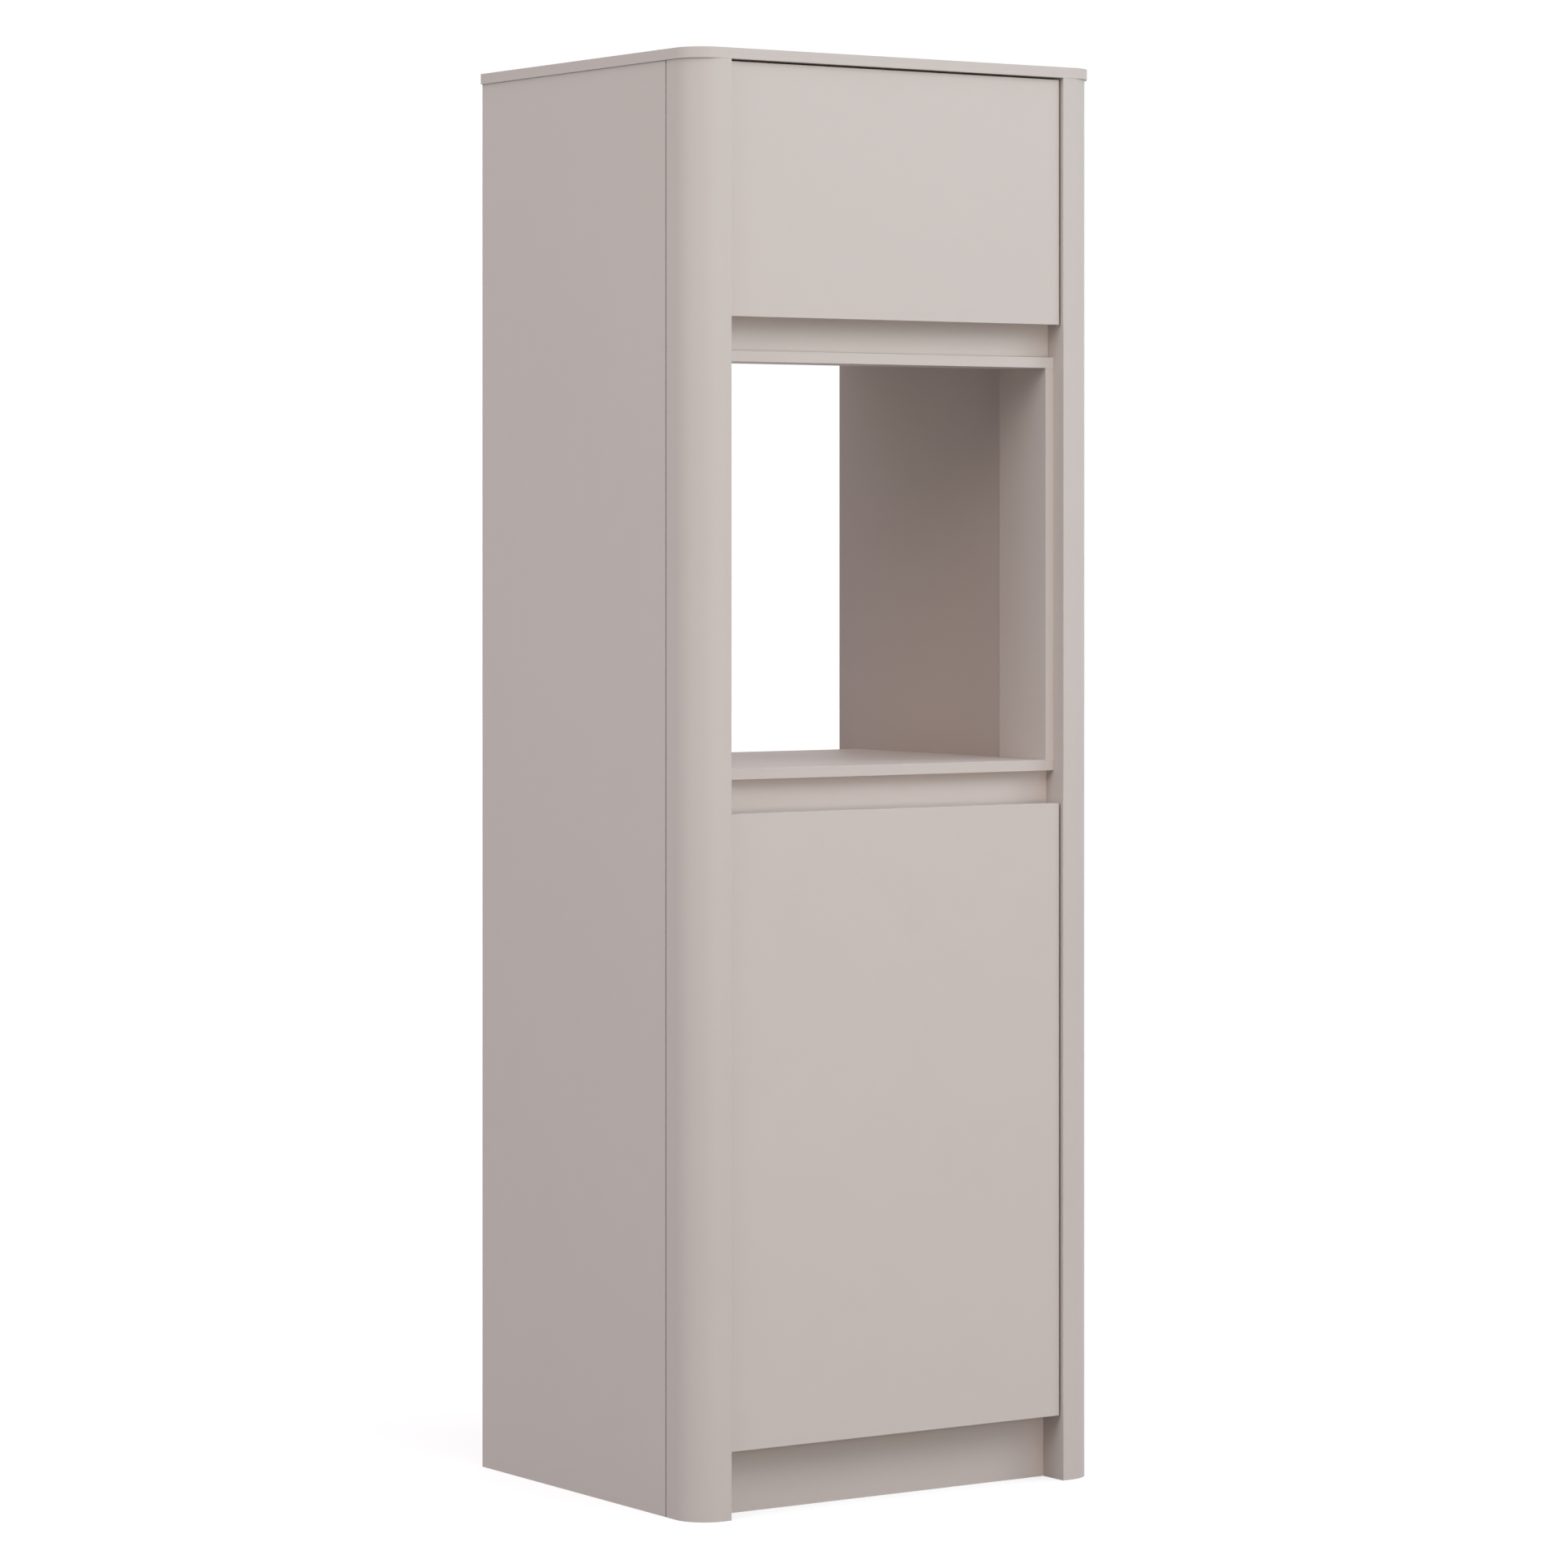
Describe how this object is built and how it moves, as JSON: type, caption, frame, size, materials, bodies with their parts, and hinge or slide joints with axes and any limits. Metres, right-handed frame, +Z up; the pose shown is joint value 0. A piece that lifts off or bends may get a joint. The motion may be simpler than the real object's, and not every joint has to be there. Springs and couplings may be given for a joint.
{
  "type": "microwave cabinet",
  "caption": "Tall free-standing tower cabinet with curved corner posts, an open-backed appliance niche between two side-hung doors, and recessed finger channels.",
  "frame": {"origin": "on the floor, at the middle of the cabinet's plan", "axes": "+X to the right seen from the front, +Y to the back, +Z up"},
  "size_m": [0.735, 0.597, 2.135],
  "materials": {
    "greige_foil": "matt foil on board, warm greige",
    "carcass_foil": "matt melamine face on board, warm greige",
    "back_sheet": "thin fibreboard sheet, lacquered greige",
    "raw_board": "raw fibreboard",
    "beech": "fluted beech dowel",
    "nickel_steel": "nickel-plated steel",
    "zinc": "die-cast zinc",
    "buffer": "soft translucent buffer"
  },
  "bodies": {
    "carcass": {"top_panel": "greige_foil", "left_outer_side": "greige_foil", "right_outer_side": "greige_foil", "left_inner_side": "carcass_foil", "right_inner_side": "carcass_foil", "left_corner_post": "greige_foil", "right_corner_post": "greige_foil", "left_battens": "raw_board", "right_battens": "raw_board", "base_panel": "carcass_foil", "plinth_board": "greige_foil", "rear_plinth_rail": "carcass_foil", "lower_ceiling": "carcass_foil", "lower_channel_board": "greige_foil", "niche_shelf": "greige_foil", "left_niche_strip": "greige_foil", "right_niche_strip": "greige_foil", "niche_rail": "greige_foil", "upper_channel_board": "greige_foil", "upper_floor": "carcass_foil", "upper_back_sheet": "back_sheet", "lower_back_sheet": "back_sheet", "loose_shelf_low": "carcass_foil", "loose_shelf_high": "carcass_foil", "shelf_pins": "nickel_steel", "cam_discs": "zinc", "cam_bolts": "nickel_steel", "dowels": "beech", "wall_brackets": "nickel_steel", "bracket_screws": "nickel_steel", "door_bumpers": "buffer", "lower_hinge_plates": "nickel_steel", "lower_hinge_arms": "nickel_steel", "upper_hinge_plates": "nickel_steel", "upper_hinge_arms": "nickel_steel", "plate_screws": "nickel_steel", "arm_screws": "nickel_steel"},
    "lower_door": {"lower_door": "greige_foil", "lower_hinge_cups": "nickel_steel", "lower_hinge_pins": "nickel_steel", "lower_cup_screws": "nickel_steel"},
    "upper_door": {"upper_door": "greige_foil", "upper_hinge_cups": "nickel_steel", "upper_hinge_pins": "nickel_steel", "upper_cup_screws": "nickel_steel"}
  },
  "joints": [
    {"name": "lower_door_hinge", "type": "hinge", "parent": "carcass", "child": "lower_door", "pos_m": [0.287, -0.2838, 0.5605], "axis": [0, 0, 1], "range_deg": [0, 100]},
    {"name": "upper_door_hinge", "type": "hinge", "parent": "carcass", "child": "upper_door", "pos_m": [0.287, -0.2838, 1.931], "axis": [0, 0, 1], "range_deg": [0, 100]}
  ]
}
